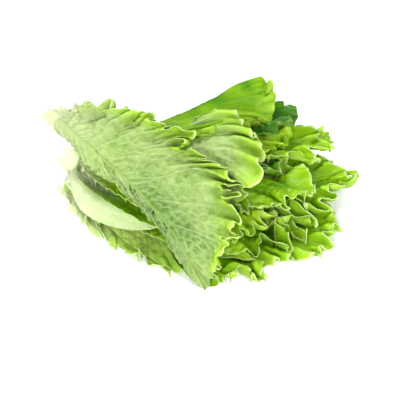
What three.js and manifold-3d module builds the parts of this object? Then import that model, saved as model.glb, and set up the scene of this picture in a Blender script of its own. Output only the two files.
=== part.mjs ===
/**
 * A head of loose-leaf lettuce lying on its side.
 *
 * Millimetres, +Z up, the surface it lies on at z = 0 and the origin in the
 * middle of the head's footprint. Every leaf is one closed sheet that grows
 * from the short stem at -X and fans out towards +X and -Y. The leaves are laid
 * one after another, from the bottom of the pile to the top: each one is raised
 * until it clears the leaves below it and then let down until it rests on them.
 */
import * as THREE from 'three';
import Module from 'manifold-3d';

// ---------------------------------------------------------------- dimensions
const HEAD_LENGTH = 259;      // plan size along X
const HEAD_DEPTH = 195;       // plan size along Y
const LEAF_THICKNESS = 1.0;   // blade
const RIB_HEIGHT = 0.9;       // how far the midrib stands out at the leaf's base
const RIB_WIDTH = 9;          // half-width of the midrib
const BLADE_WIDTH = 1.0;      // factor on every leaf's width
const REST_GAP = 0.3;         // air left between a leaf and what it rests on
const STEM_RADIUS = 11;
const STEM_LENGTH = 22;
const STEM_CENTRE = [-115, 61];   // in plan, written for the layout size
const STEM_HEADING = -21;     // degrees about Z, the way the stem points
const STEM_TAPER = 0.86;      // cut end's radius / inner end's radius

const ROWS = 12;              // steps along a margin, base to tip
const COLUMNS = 5;            // steps from the midrib out to a margin
const LAYOUT_LENGTH = 259;    // the plan size the leaf spines below are written for
const LAYOUT_DEPTH = 195;

const RAISE_STEP = 0.5;
const RAISE_LIMIT = 60;

/**
 * One entry for each piece, from the bottom of the pile to the top.
 * spine: four points the midrib passes through, base to tip, [x, y, z].
 * near / far: width of the blade on its -Y and +Y side.
 * base: half-width where the leaf meets the stem.
 * foldNear / foldFar: degrees that side turns up (+) or down (-) beside the
 * midrib, at the leaf's base and at its tip; foldRadius: over what width.
 * curlNear / curlFar: degrees more out at the margin.
 * ribUp: the rib side, the outside of the leaf, faces up.
 * widest: where along the midrib the blade is widest.
 */
const LEAVES = [
  { name: 'leaf_01_under_back', spine: [[-116, 60, 2], [-68, 69, 2], [-18, 47, 2], [28, 29, 2]],
    near: 50, far: 45 },
  { name: 'leaf_02_under_front', spine: [[-118, 54, 4], [-80, 15, 4], [-42, -25, 4], [-7, -61, 2]],
    near: 24, far: 42, curlNear: -10 },
  { name: 'leaf_03_low_front', spine: [[-116, 56, 7], [-57, 15, 6], [-4, -32, 5], [46, -51, 2]],
    near: 24, far: 46 },
  { name: 'leaf_04_low_right', spine: [[-116, 56, 9], [-44, 32, 9], [35, 5, 7], [117, -6, 5]],
    near: 40, far: 46 },
  { name: 'stem' },
  { name: 'leaf_05_curled_front', spine: [[-108, 40, 19], [-95, 11, 19], [-66, -10, 18], [-30, -16, 14]],
    near: 9, far: 34, base: 8, foldNear: [-110, -110], foldFar: [30, 45], foldRadius: 6, ribUp: true, pale: 1 },
  { name: 'leaf_06_mid_front', spine: [[-100, 43, 27], [-42, 1, 37], [19, -10, 16], [77, -32, 12]],
    near: 32, far: 42, base: 8, curlNear: -10 },
  { name: 'leaf_07_mid_right', spine: [[-98, 52, 31], [-30, 20, 39], [48, 25, 20], [128, 17, 24]],
    near: 42, far: 44, base: 8, curlNear: -10, curlFar: 10 },
  { name: 'leaf_08_bright_front', spine: [[-97, 44, 35], [-47, 6, 44], [4, -16, 33], [51, -39, 25]],
    near: 36, far: 36, base: 8 },
  { name: 'leaf_09_middle', spine: [[-95, 52, 38], [-34, 22, 51], [30, 13, 42], [95, -1, 33]],
    near: 38, far: 36, base: 8, curlNear: -20 },
  { name: 'leaf_10_inner_dark', spine: [[-97, 58, 42], [-43, 31, 54], [13, 24, 53], [69, 26, 42]],
    near: 34, far: 36, base: 8 },
  { name: 'leaf_11_upper_right', spine: [[-95, 61, 46], [-34, 25, 59], [34, 34, 56], [115, 43, 48]],
    near: 38, far: 36, base: 8, curlNear: -10 },
  { name: 'leaf_12_yellow_edge', spine: [[-97, 63, 49], [-42, 26, 64], [19, 32, 66], [78, 55, 60]],
    near: 28, far: 22, base: 8, curlNear: -20 },
  { name: 'leaf_13_back_dark', spine: [[-97, 65, 51], [-42, 29, 67], [21, 46, 71], [85, 68, 66]],
    near: 36, far: 24, base: 8, roll: 10 },
  { name: 'leaf_14_light_middle', spine: [[-116, 52, 62], [-50, 4, 75], [0, -10, 74], [41, -30, 58]],
    near: 12, far: 50, base: 8, curlNear: -20, foldFar: [10, 20], curlFar: -20, ribUp: true, pale: 0.6 },
  { name: 'leaf_15_top_back', spine: [[-116, 66, 68], [-50, 12, 86], [4, 40, 90], [57, 79, 94]],
    near: 28, far: 5, base: 8, roll: 10, foldFar: [-60, -60], foldRadius: 6, widest: 0.8 },
  { name: 'leaf_16_ragged_left', spine: [[-120, 64, 73], [-96, 17, 80], [-70, 12, 86], [-40, 9, 90]],
    near: 6, far: 34, base: 9, ribUp: true, widest: 0.5, pale: 1 },
  { name: 'leaf_17_front_outer', spine: [[-118, 32, 79], [-71, -26, 77], [-31, -52, 45], [3, -83, -4]],
    near: 7, far: 52, base: 11, foldNear: [-70, -70], foldFar: [30, 45], foldRadius: 6, ribUp: true,
    widest: 0.55, pale: 0.8 },
];

const GREEN = new THREE.Color('#6fae2c');
const PALE = new THREE.Color('#d3e4ae');

// --------------------------------------------------------------- small tools
const DEG = Math.PI / 180;
const clamp01 = (x) => Math.min(1, Math.max(0, x));
const ease = (x) => { const c = clamp01(x); return c * c * (3 - 2 * c); };
const mix = (a, b, t) => a + (b - a) * t;

/** The cubic curve through four points at a third of its length each. */
function curveThrough(q) {
  const c1 = new THREE.Vector3(), c2 = new THREE.Vector3();
  c1.addScaledVector(q[0], -5 / 6).addScaledVector(q[1], 3).addScaledVector(q[2], -1.5).addScaledVector(q[3], 1 / 3);
  c2.addScaledVector(q[0], 1 / 3).addScaledVector(q[1], -1.5).addScaledVector(q[2], 3).addScaledVector(q[3], -5 / 6);
  return new THREE.CubicBezierCurve3(q[0], c1, c2, q[3]);
}

/** Direction of the midrib at a (0 base, 1 tip). */
function heading(curve, a) {
  const e = 1e-3, lo = Math.max(0, a - e), hi = Math.min(1, a + e);
  return curve.getPoint(hi).sub(curve.getPoint(lo)).normalize();
}

/** Width coordinates of the margin at t (0 base, 1 tip): how far along, how far out. */
function margin(leaf, t, side) {
  const width = (side > 0 ? leaf.near : leaf.far) * BLADE_WIDTH;
  const along = (1 - Math.cos(Math.PI * t)) / 2;
  const skew = Math.log(leaf.widest) / Math.log(0.5);
  const out = leaf.base * (1 - t) ** 2 + width * Math.sin(Math.PI * t) ** 0.85;
  return [along ** skew, t === 1 ? 0 : out, width];
}

/** The point a along the midrib and b out to one side of it, on the folded blade. */
function bladePoint(leaf, a, b, side, width) {
  const T = heading(leaf.curve, a);
  const across = new THREE.Vector3().crossVectors(T, new THREE.Vector3(0, 0, 1)).normalize();
  const up = new THREE.Vector3().crossVectors(across, T);
  const r = leaf.roll * a * DEG;
  const B = across.clone().multiplyScalar(Math.cos(r)).addScaledVector(up, Math.sin(r));
  const N = up.clone().multiplyScalar(Math.cos(r)).addScaledVector(across, -Math.sin(r));
  const [f0, f1] = side > 0 ? leaf.foldNear : leaf.foldFar;
  const fold = mix(f0, f1, a) * DEG;
  const curl = (side > 0 ? leaf.curlNear : leaf.curlFar) * DEG;
  const steps = 24;
  let y = 0, z = 0;
  for (let k = 0; k < steps; k++) {
    const w = b * (k + 0.5) / steps;
    const phi = fold * ease(w / leaf.foldRadius) + curl * w / width;
    y += Math.cos(phi) * b / steps;
    z += Math.sin(phi) * b / steps;
  }
  return leaf.curve.getPoint(a).addScaledVector(B, side * y).addScaledVector(N, z);
}

/** The blade's middle surface as rows of points: up the near margin, down the far one. */
function bladeGrid(leaf) {
  const grid = [];
  for (let i = 0; i <= 2 * ROWS; i++) {
    const side = i <= ROWS ? 1 : -1;
    const t = (i <= ROWS ? i : 2 * ROWS - i) / ROWS;
    const [aMargin, out, width] = margin(leaf, t, side);
    const aRib = 0.86 * t ** 1.2;
    const row = [];
    for (let j = 0; j <= COLUMNS; j++) {
      const f = j / COLUMNS;
      row.push(bladePoint(leaf, mix(aRib, aMargin, f), out * f, side, width));
    }
    grid.push(row);
  }
  return grid;
}

/** Upward normals of the grid, shared by both halves along the midrib. */
function gridNormals(grid) {
  const m = grid.length, n = grid[0].length;
  const raw = grid.map((row, i) => row.map((p, j) => {
    const di = grid[Math.min(i + 1, m - 1)][j].clone().sub(grid[Math.max(i - 1, 0)][j]);
    const dj = grid[i][Math.min(j + 1, n - 1)].clone().sub(grid[i][Math.max(j - 1, 0)]);
    return di.cross(dj);
  }));
  for (let i = 0; i <= ROWS; i++) {
    const shared = raw[i][0].clone().normalize().add(raw[m - 1 - i][0].clone().normalize());
    raw[i][0].copy(shared);
    raw[m - 1 - i][0].copy(shared);
  }
  let up = 0;
  raw.forEach((row) => row.forEach((v) => { v.normalize(); up += v.z; }));
  if (up < 0) raw.forEach((row) => row.forEach((v) => v.negate()));
  return raw;
}

/** A leaf as one closed body: both faces of the blade, its rim and its cut base. */
function leafGeometry(leaf) {
  const grid = bladeGrid(leaf), normals = gridNormals(grid);
  const m = grid.length, n = COLUMNS + 1;
  const positions = [], triangles = [];
  const index = [1, -1].map((face) => {
    const ids = [];
    for (let i = 0; i < m; i++) {
      ids.push([]);
      for (let j = 0; j < n; j++) {
        if (j === 0 && i > ROWS) { ids[i].push(ids[m - 1 - i][0]); continue; }
        const t = (i <= ROWS ? i : m - 1 - i) / ROWS;
        const fromRib = grid[i][j].distanceTo(grid[i][0]);
        const rib = (face > 0) === leaf.ribUp
          ? RIB_HEIGHT * (1 - 0.86 * t) * Math.exp(-((fromRib / RIB_WIDTH) ** 2)) : 0;
        const p = grid[i][j].clone().addScaledVector(normals[i][j], face * (LEAF_THICKNESS / 2 + rib));
        ids[i].push(positions.length / 3);
        positions.push(p.x, p.y, p.z);
      }
    }
    return ids;
  });
  const quad = (a, b, c, d) => {
    for (const t of [[a, b, c], [a, c, d]]) if (new Set(t).size === 3) triangles.push(...t);
  };
  const [top, under] = index;
  for (let i = 0; i < m - 1; i++) {
    for (let j = 0; j < n - 1; j++) {
      quad(top[i][j], top[i][j + 1], top[i + 1][j + 1], top[i + 1][j]);
      quad(under[i][j], under[i + 1][j], under[i + 1][j + 1], under[i][j + 1]);
    }
    quad(top[i][n - 1], under[i][n - 1], under[i + 1][n - 1], top[i + 1][n - 1]);
  }
  for (let j = 0; j < n - 1; j++) {
    quad(top[0][j], under[0][j], under[0][j + 1], top[0][j + 1]);
    quad(top[m - 1][j], top[m - 1][j + 1], under[m - 1][j + 1], under[m - 1][j]);
  }
  return closedGeometry(positions, triangles);
}

/** The stem: a short tapered stub lying along its heading, rounded at both ends. */
function stemGeometry() {
  const h = STEM_LENGTH / 2, r = STEM_RADIUS, s = STEM_RADIUS * STEM_TAPER, c = 2;
  const profile = [[0, -h], [s - c, -h], [s, -h + c], [r, h - c], [r - c, h], [0, h]]
    .map(([x, y]) => new THREE.Vector2(x, y));
  const lathe = new THREE.LatheGeometry(profile, 28);
  lathe.rotateZ(-Math.PI / 2);
  lathe.rotateZ(STEM_HEADING * DEG);
  lathe.translate(STEM_CENTRE[0] * HEAD_LENGTH / LAYOUT_LENGTH, STEM_CENTRE[1] * HEAD_DEPTH / LAYOUT_DEPTH, STEM_RADIUS);
  return lathe;
}

/** Indexed geometry whose faces point outwards. */
function closedGeometry(positions, triangles) {
  const v = (k) => new THREE.Vector3().fromArray(positions, 3 * k);
  let volume = 0;
  for (let k = 0; k < triangles.length; k += 3) {
    volume += v(triangles[k]).dot(v(triangles[k + 1]).cross(v(triangles[k + 2])));
  }
  const index = volume > 0 ? triangles
    : triangles.map((_, k) => triangles[k % 3 === 0 ? k : k % 3 === 1 ? k + 1 : k - 1]);
  const geometry = new THREE.BufferGeometry();
  geometry.setAttribute('position', new THREE.Float32BufferAttribute(positions, 3));
  geometry.setIndex(index);
  return geometry;
}

// ------------------------------------------------------------ laying the pile
const wasm = await Module();
wasm.setup();

/** The same body as a solid, to measure gaps with. */
function solidOf(geometry) {
  const mesh = new wasm.Mesh({
    numProp: 3,
    vertProperties: Float32Array.from(geometry.getAttribute('position').array),
    triVerts: Uint32Array.from(geometry.getIndex().array),
  });
  mesh.merge();
  return new wasm.Manifold(mesh);
}

/** How far up this solid goes to rest on those below it. */
function restingHeight(solid, below) {
  const boxes = below.map((b) => b.boundingBox());
  let dz = 0;
  const placed = () => solid.translate([0, 0, dz]);
  const near = (s) => {
    const a = s.boundingBox(), reach = 3;
    return below.filter((_, k) => [0, 1, 2].every((x) =>
      a.min[x] - reach < boxes[k].max[x] && boxes[k].min[x] < a.max[x] + reach));
  };
  const gapTo = (s) => Math.min(...near(s).map((b) => s.minGap(b, 3)), 3);
  const meets = (s) => near(s).some((b) => s.intersect(b).volume() > 1e-6);
  const floor = -solid.boundingBox().min[2];
  dz = Math.max(0, floor);
  while (dz < RAISE_LIMIT && (meets(placed()) || gapTo(placed()) < REST_GAP)) dz += RAISE_STEP;
  for (let k = 0; k < 40; k++) {
    const drop = Math.min(gapTo(placed()) - REST_GAP, dz - floor);
    if (drop < 0.02) break;
    dz -= drop;
  }
  return dz;
}

// ------------------------------------------------------------------- assembly
const DEFAULTS = {
  base: 14, roll: 0, foldNear: [0, 0], foldFar: [0, 0], foldRadius: 12, curlNear: 0, curlFar: 0,
  ribUp: false, widest: 0.62, pale: 0,
};

const head = new THREE.Group();
head.name = 'lettuce_head';
const laid = [];
for (const entry of LEAVES) {
  const leaf = { ...DEFAULTS, ...entry };
  let geometry;
  if (leaf.name === 'stem') {
    geometry = stemGeometry();
  } else {
    leaf.curve = curveThrough(leaf.spine.map(([x, y, z]) =>
      new THREE.Vector3(x * HEAD_LENGTH / LAYOUT_LENGTH, y * HEAD_DEPTH / LAYOUT_DEPTH, z)));
    geometry = leafGeometry(leaf);
  }
  const solid = solidOf(geometry);
  const dz = restingHeight(solid, laid);
  geometry.translate(0, 0, dz);
  laid.push(solid.translate([0, 0, dz]));
  const material = new THREE.MeshStandardMaterial({
    color: leaf.name === 'stem' ? PALE : GREEN.clone().lerp(PALE, leaf.pale), roughness: 0.5, metalness: 0,
  });
  const mesh = new THREE.Mesh(geometry, material);
  mesh.name = leaf.name;
  head.add(mesh);
}

const box = new THREE.Box3().setFromObject(head);
const middle = box.getCenter(new THREE.Vector3());
for (const mesh of head.children) mesh.geometry.translate(-middle.x, -middle.y, -box.min.z);

export default head;
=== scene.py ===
"""A head of loose-leaf lettuce lying on its side: the finished look of every leaf and of the stem.

Shapes are worked out in millimetres and written to the meshes in metres.
"""
import logging
import math
from dataclasses import dataclass, field
from enum import Enum
from typing import NamedTuple

import bmesh
import bpy
import numpy as np
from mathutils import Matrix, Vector


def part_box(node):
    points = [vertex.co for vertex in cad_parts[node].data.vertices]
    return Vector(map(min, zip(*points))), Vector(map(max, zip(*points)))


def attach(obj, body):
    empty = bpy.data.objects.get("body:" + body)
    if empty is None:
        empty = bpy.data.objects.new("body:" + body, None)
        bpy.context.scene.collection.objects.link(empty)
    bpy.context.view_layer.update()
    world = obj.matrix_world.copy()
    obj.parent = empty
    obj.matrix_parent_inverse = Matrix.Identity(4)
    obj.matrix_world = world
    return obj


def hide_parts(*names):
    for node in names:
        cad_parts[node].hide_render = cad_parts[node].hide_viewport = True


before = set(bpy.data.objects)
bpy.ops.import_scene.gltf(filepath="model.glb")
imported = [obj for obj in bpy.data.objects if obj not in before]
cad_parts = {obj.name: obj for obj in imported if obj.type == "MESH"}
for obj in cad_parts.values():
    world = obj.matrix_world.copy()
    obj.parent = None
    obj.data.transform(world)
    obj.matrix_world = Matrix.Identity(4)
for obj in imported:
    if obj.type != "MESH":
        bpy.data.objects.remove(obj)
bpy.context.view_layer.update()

MM = 0.001
RIB_SCALE = 190.0     # a usual midrib's length, mm: turns a place along the midrib into mm for patterns
MARGIN_SCALE = 205.0  # a usual margin's length on one side, mm: spaces the side veins
MARGIN_START = 400.0  # keeps the side veins' places above zero on both sides, mm
log = logging.getLogger("lettuce")

Pair = tuple[float, float]
Triple = tuple[float, float, float]
Socket = bpy.types.NodeSocket
Rng = np.random.Generator


# ------------------------------------------------------------------ numbers
def ease(x: np.ndarray) -> np.ndarray:
    """Smooth step: 3x^2 - 2x^3 between 0 and 1, flat outside.

    Args:
        x: any numbers.

    Returns:
        Values from 0 to 1.
    """
    c = np.clip(x, 0.0, 1.0)
    return c * c * (3.0 - 2.0 * c)


def hex_linear(code: str) -> tuple[float, float, float, float]:
    """Turns an sRGB hex colour into linear RGBA.

    Args:
        code: such as "#6fae2c".

    Returns:
        Four numbers for a shader socket.
    """
    parts = [int(code[k:k + 2], 16) / 255.0 for k in (1, 3, 5)]
    lin = [c / 12.92 if c <= 0.04045 else ((c + 0.055) / 1.055) ** 2.4 for c in parts]
    return (lin[0], lin[1], lin[2], 1.0)


def wander(x: np.ndarray, step: float, rng: Rng) -> np.ndarray:
    """Smooth noise along a line: random heights every step, joined by smooth steps.

    Args:
        x: places along the line, mm, from 0.
        step: distance between the random heights, mm.
        rng: the leaf's own random numbers.

    Returns:
        Values about -1 to 1.
    """
    n = int(np.max(x) / step) + 4
    heights = rng.uniform(-1.0, 1.0, n)
    k = np.clip((x / step).astype(int), 0, n - 2)
    return heights[k] + (heights[k + 1] - heights[k]) * ease(x / step - k)


def wander_2d(u: np.ndarray, v: np.ndarray, step: float, rng: Rng) -> np.ndarray:
    """Smooth noise over a sheet: random heights on a square net, joined by smooth steps.

    Args:
        u: first coordinate, mm.
        v: second coordinate, mm.
        step: the net's spacing, mm.
        rng: the leaf's own random numbers.

    Returns:
        Values about -1 to 1.
    """
    x, y = (u - u.min()) / step, (v - v.min()) / step
    net = rng.uniform(-1.0, 1.0, (int(x.max()) + 3, int(y.max()) + 3))
    i, j = x.astype(int), y.astype(int)
    p, q = ease(x - i), ease(y - j)
    low = net[i, j] * (1 - p) + net[i + 1, j] * p
    high = net[i, j + 1] * (1 - p) + net[i + 1, j + 1] * p
    return low * (1 - q) + high * q


def smooth_rows(values: np.ndarray, window: int) -> np.ndarray:
    """Moving average down the rows, the ends repeated.

    Args:
        values: rows by columns.
        window: how many rows the average takes, made odd.

    Returns:
        An array of the same shape.
    """
    half = max(1, window // 2)
    padded = np.concatenate([np.repeat(values[:1], half + 1, 0), values, np.repeat(values[-1:], half, 0)])
    total = np.cumsum(padded, axis=0)
    return (total[2 * half + 1:] - total[:-2 * half - 1]) / (2 * half + 1)


def unit(v: np.ndarray) -> np.ndarray:
    """Vectors scaled to length one along the last axis."""
    return v / np.maximum(np.linalg.norm(v, axis=-1, keepdims=True), 1e-9)


def distances_along(points: np.ndarray) -> np.ndarray:
    """Running distance along a row of points, from 0."""
    return np.concatenate([[0], np.cumsum(np.linalg.norm(np.diff(points, axis=0), axis=1))])


def cells(u: np.ndarray, v: np.ndarray, size: float, rng: Rng) -> np.ndarray:
    """Distance from the nearest border between irregular cells, as the net of fine veins leaves them.

    One seed point sits in each square of a net; the border distance is half the
    difference between the distances to the second-nearest and nearest seeds.

    Args:
        u: first coordinate, mm.
        v: second coordinate, mm.
        size: the net's spacing, mm.
        rng: the leaf's own random numbers.

    Returns:
        Distances in mm, 0 on a vein.
    """
    x, y = (u - u.min()) / size + 2, (v - v.min()) / size + 2
    shape = (int(x.max()) + 4, int(y.max()) + 4)
    sx, sy = rng.uniform(0.12, 0.88, shape), rng.uniform(0.12, 0.88, shape)
    i, j = x.astype(int), y.astype(int)
    found = []
    for di in (-1, 0, 1):
        for dj in (-1, 0, 1):
            a, b = i + di, j + dj
            found.append(np.hypot(a + sx[a, b] - x, b + sy[a, b] - y))
    near = np.sort(np.stack(found), axis=0)
    return (near[1] - near[0]) * 0.5 * size


# ------------------------------------------------------------------- shading
def add_node(tree: bpy.types.NodeTree, kind: str, settings: dict[str, object] | None = None,
             links: dict[str | int, Socket] | None = None) -> bpy.types.Node:
    """Adds one shader node.

    Args:
        tree: the material's node tree.
        kind: the node's type name.
        settings: attribute names, or socket names and numbers as "in:Name" or "in:2", to values.
        links: socket names or numbers of the new node to the sockets that feed them.

    Returns:
        The new node.
    """
    node = tree.nodes.new(kind)
    for key, value in (settings or {}).items():
        if key.startswith("in:"):
            name = key[3:]
            node.inputs[int(name) if name.isdigit() else name].default_value = value
        else:
            setattr(node, key, value)
    for name, socket in (links or {}).items():
        tree.links.new(socket, node.inputs[name])
    return node


def empty_material(name: str) -> bpy.types.Material:
    """A material with nodes and none of them placed yet."""
    mat = bpy.data.materials.new(name)
    mat.use_nodes = True
    mat.node_tree.nodes.clear()
    return mat


@dataclass(frozen=True)
class LeafFinish:
    """Living leaf, grown: a waxy, faintly glossy inner face and a pale, matt outer face with raised veins.

    Light goes through it, so part of the surface is a translucent layer of a
    yellower green. The blade bleaches to near white where it joins the stem,
    and its margin is brighter, with a painted highlight along its very edge.
    Colours are sRGB; sizes are in mm.
    """

    name: str = "leaf_blade"
    inner_deep: str = "#5a9400"
    inner_light: str = "#8ab806"
    outer_green: str = "#76a420"
    outer_pale: str = "#9dc042"
    vein: str = "#c6d98c"
    base_pale: str = "#e9efce"
    margin: str = "#a4cf26"
    # painted highlight: the pale colour laid along the margin's very edge
    rim_highlight: str = "#dcec9c"
    glow: str = "#b0d200"
    shadow: str = "#5f8f30"
    bleach_from: float = 0.02
    bleach_to: float = 0.25
    inner_roughness: float = 0.29
    outer_roughness: float = 0.50
    translucency: float = 0.38
    patch_size: float = 22.0
    net_size: float = 3.2
    grain_size: float = 0.9

    def build(self) -> bpy.types.Material:
        """Makes the leaf material.

        Each share is a value carried from one range to another and held at its
        ends. Each layer then lays its second colour over its first by its share.

        Returns:
            The material.
        """
        mat = empty_material(self.name)
        tree = mat.node_tree
        read = {name: add_node(tree, "ShaderNodeAttribute", {"attribute_name": name}).outputs["Fac"]
                for name in ("inner", "along", "edge", "vein", "shade")}
        place = add_node(tree, "ShaderNodeAttribute", {"attribute_name": "blade"}).outputs["Vector"]
        read["patch"] = add_node(tree, "ShaderNodeTexNoise",
                                 {"in:Scale": 1.0 / (self.patch_size * MM), "in:Detail": 3.0},
                                 {"Vector": place}).outputs["Fac"]
        read["net"] = add_node(tree, "ShaderNodeTexVoronoi",
                               {"feature": "DISTANCE_TO_EDGE", "in:Scale": 1.0 / (self.net_size * MM)},
                               {"Vector": place}).outputs["Distance"]
        grain = add_node(tree, "ShaderNodeTexNoise",
                         {"in:Scale": 1.0 / (self.grain_size * MM), "in:Detail": 2.0}, {"Vector": place})
        # what is read, the range it is taken over, and the values at the range's two ends
        ranges = {
            "fine": ("net", 0.0, 0.22, 1.0, 0.0),
            "inner_patch": ("patch", 0.35, 0.68, 0.0, 1.0),
            "inner_margin": ("edge", 0.55, 1.0, 0.0, 0.75),
            "inner_vein": ("vein", 0.0, 1.0, 0.0, 0.30),
            "outer_patch": ("patch", 0.32, 0.70, 0.0, 1.0),
            "outer_vein": ("vein", 0.0, 1.0, 0.0, 0.5),
            "outer_shadow": ("shade", 0.0, 1.0, 0.0, 1.0),
            "outer_net": ("net", 0.0, 0.22, 0.2, 0.0),
            "outer_margin": ("edge", 0.68, 0.95, 0.0, 0.85),
            "face": ("inner", 0.0, 1.0, 0.0, 1.0),
            # painted highlight along the very edge of the margin
            "rim_highlight": ("edge", 0.965, 1.0, 0.0, 0.8),
            "bleach": ("along", self.bleach_to, self.bleach_from, 0.0, 1.0),
            "rough": ("inner", 0.0, 1.0, self.outer_roughness, self.inner_roughness),
        }
        share = {name: add_node(tree, "ShaderNodeMapRange",
                                {"in:From Min": low, "in:From Max": high,
                                 "in:To Min": first, "in:To Max": last},
                                {"Value": read[source]}).outputs["Result"]
                 for name, (source, low, high, first, last) in ranges.items()}
        # the colour made, its share, and the two colours, each a hex code or one made earlier
        layers = (
            ("inner", "inner_patch", self.inner_deep, self.inner_light),
            ("inner", "inner_margin", "inner", self.margin),
            ("inner", "inner_vein", "inner", self.outer_pale),
            ("outer", "outer_patch", self.outer_green, self.outer_pale),
            ("outer", "outer_vein", "outer", self.vein),
            ("outer", "outer_shadow", "outer", self.shadow),
            ("outer", "outer_net", "outer", self.vein),
            ("outer", "outer_margin", "outer", self.margin),
            ("leaf", "face", "outer", "inner"),
            ("leaf", "rim_highlight", "leaf", self.rim_highlight),
            ("leaf", "bleach", "leaf", self.base_pale),
            ("glow", "bleach", self.glow, self.base_pale),
        )
        made: dict[str, Socket] = {}
        for name, by, *pair in layers:
            sides = dict(zip((6, 7), pair))
            plain = {f"in:{slot}": hex_linear(one) for slot, one in sides.items() if one not in made}
            fed = {slot: made[one] for slot, one in sides.items() if one in made}
            mix = add_node(tree, "ShaderNodeMix", {"data_type": "RGBA", **plain}, {0: share[by], **fed})
            made[name] = mix.outputs[2]
        height = add_node(tree, "ShaderNodeMath", {"operation": "MULTIPLY_ADD", "in:1": 0.35},
                          {0: share["fine"], 2: grain.outputs["Fac"]})
        bump = add_node(tree, "ShaderNodeBump", {"in:Strength": 0.8, "in:Distance": 0.35 * MM},
                        {"Height": height.outputs[0]})
        body = add_node(tree, "ShaderNodeBsdfPrincipled", {"in:IOR": 1.42, "in:Specular IOR Level": 0.45},
                        {"Base Color": made["leaf"], "Roughness": share["rough"],
                         "Normal": bump.outputs["Normal"]})
        through = add_node(tree, "ShaderNodeBsdfTranslucent", None, {"Color": made["glow"]})
        mixed = add_node(tree, "ShaderNodeMixShader", {"in:0": self.translucency},
                         {1: body.outputs[0], 2: through.outputs[0]})
        add_node(tree, "ShaderNodeOutputMaterial", None, {"Surface": mixed.outputs[0]})
        return mat


@dataclass(frozen=True)
class StemFinish:
    """Cut lettuce stem, grown and then sliced: pale, moist flesh with faint fibres and a browned cut face.

    Some light sinks into it, which gives it the soft look of wet flesh.
    """

    name: str = "stem_flesh"
    flesh: str = "#dfe6c4"
    green: str = "#b9cf88"
    cut: str = "#c9b88c"
    cloud_size: float = 6.0
    fibre_size: float = 1.2

    def build(self) -> bpy.types.Material:
        """Makes the stem material.

        Returns:
            The material.
        """
        mat = empty_material(self.name)
        tree = mat.node_tree
        spot = add_node(tree, "ShaderNodeTexCoord").outputs["Object"]
        cloud = add_node(tree, "ShaderNodeTexNoise",
                         {"in:Scale": 1.0 / (self.cloud_size * MM), "in:Detail": 3.0}, {"Vector": spot})
        fibre = add_node(tree, "ShaderNodeTexNoise",
                         {"in:Scale": 1.0 / (self.fibre_size * MM), "in:Detail": 2.0}, {"Vector": spot})
        cut = add_node(tree, "ShaderNodeAttribute", {"attribute_name": "cut"}).outputs["Fac"]
        skin = add_node(tree, "ShaderNodeMix", {"data_type": "RGBA", "in:6": hex_linear(self.flesh),
                                                "in:7": hex_linear(self.green)}, {0: cloud.outputs["Fac"]})
        face = add_node(tree, "ShaderNodeMix", {"data_type": "RGBA", "in:7": hex_linear(self.cut)},
                        {0: cut, 6: skin.outputs[2]})
        bump = add_node(tree, "ShaderNodeBump", {"in:Strength": 0.4, "in:Distance": 0.4 * MM},
                        {"Height": fibre.outputs["Fac"]})
        body = add_node(tree, "ShaderNodeBsdfPrincipled",
                        {"in:Roughness": 0.42, "in:IOR": 1.4, "in:Subsurface Weight": 0.25,
                         "in:Subsurface Radius": (0.004, 0.003, 0.0015), "in:Subsurface Scale": 1.0},
                        {"Base Color": face.outputs[2], "Normal": bump.outputs["Normal"]})
        add_node(tree, "ShaderNodeOutputMaterial", None, {"Surface": body.outputs[0]})
        return mat


# -------------------------------------------------------------------- shapes
class Facing(Enum):
    """Which face of a leaf is on top."""

    INSIDE_UP = -1
    OUTSIDE_UP = 1


class Wave(NamedTuple):
    """One size of wave in a leaf's margin; it grows from start on, over reach, both shares of the width."""

    size: float
    swing: float
    start: float
    reach: float


class VeinRank(NamedTuple):
    """Side veins of one rank: spacing and half width in mm, start as a share of the blade's width."""

    spacing: float
    start: float
    strength: float
    half_width: float


SIDE_VEINS = (VeinRank(26.0, 0.0, 1.0, 1.1), VeinRank(13.0, 0.38, 0.7, 0.8), VeinRank(6.5, 0.66, 0.45, 0.6))


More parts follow.
